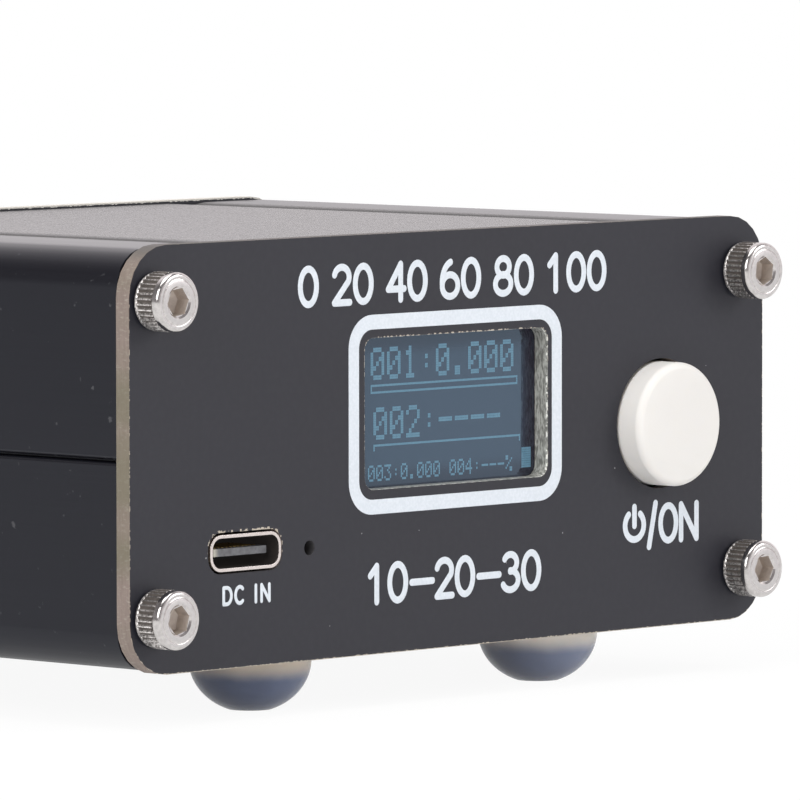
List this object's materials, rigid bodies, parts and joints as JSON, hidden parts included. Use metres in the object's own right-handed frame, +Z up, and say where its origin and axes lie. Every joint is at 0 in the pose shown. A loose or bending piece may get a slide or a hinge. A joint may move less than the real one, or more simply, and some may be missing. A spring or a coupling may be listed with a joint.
{
  "type": "swr meter",
  "caption": "Small in-line SWR and power meter in a split black extruded case, with a pixel display and a push button in front and coaxial sockets behind.",
  "frame": {"origin": "middle of the bounding box at the height of the feet's undersides, where the meter stands", "axes": "+Z up, front panel and display face -Y, +X to the right seen from the front"},
  "size_m": [0.0834, 0.0838, 0.0422],
  "materials": {
    "black_board": "black solder mask on glass-epoxy board, bare beige edge",
    "anodised": "black anodised extrusion, blasted top",
    "stainless": "bright stainless steel, knurled heads",
    "display_glass": "dark display glass",
    "blue_board": "blue solder mask",
    "green_board": "green solder mask",
    "black_plastic": "moulded black plastic",
    "ivory_plastic": "smooth ivory plastic",
    "lamp": "clear lamp body",
    "ferrite": "dull dark ferrite",
    "cell_foil": "satin foil pouch",
    "nickel": "bright nickel plate",
    "insulator": "white insulator",
    "gilt": "gilt brass",
    "clear_rubber": "clear grey-blue rubber, satin"
  },
  "bodies": {
    "housing": {"front_panel": "black_board", "back_panel": "black_board", "upper_case": "anodised", "lower_case": "anodised", "front_screw_1": "stainless", "front_screw_2": "stainless", "front_screw_3": "stainless", "front_screw_4": "stainless", "back_screw_1": "stainless", "back_screw_2": "stainless", "back_screw_3": "stainless", "back_screw_4": "stainless", "input_screw_1": "stainless", "input_screw_2": "stainless", "input_screw_3": "stainless", "input_screw_4": "stainless", "output_screw_1": "stainless", "output_screw_2": "stainless", "output_screw_3": "stainless", "output_screw_4": "stainless", "input_nut_1": "stainless", "input_nut_2": "stainless", "input_nut_3": "stainless", "input_nut_4": "stainless", "output_nut_1": "stainless", "output_nut_2": "stainless", "output_nut_3": "stainless", "output_nut_4": "stainless", "switch_cover": "stainless", "usb_shell": "stainless", "display_glass": "display_glass", "display_board": "blue_board", "main_board": "green_board", "switch_board": "green_board", "display_header": "black_plastic", "switch_base": "black_plastic", "usb_tongue": "black_plastic", "controller_chip": "black_plastic", "through_line": "black_plastic", "charge_lamp": "lamp", "current_core": "ferrite", "voltage_core": "ferrite", "battery": "cell_foil", "input_socket": "nickel", "output_socket": "nickel", "input_insulator": "insulator", "output_insulator": "insulator", "input_contact": "gilt", "output_contact": "gilt", "foot_1": "clear_rubber", "foot_2": "clear_rubber", "foot_3": "clear_rubber", "foot_4": "clear_rubber"},
    "button": {"button_cap": "ivory_plastic", "switch_plunger": "black_plastic"}
  },
  "joints": [
    {"name": "button_press", "type": "slide", "parent": "housing", "child": "button", "axis": [0, 1, 0], "range_m": [0, 0.0003], "stiffness_N_per_m": 2000, "springref_m": -0.0005}
  ]
}
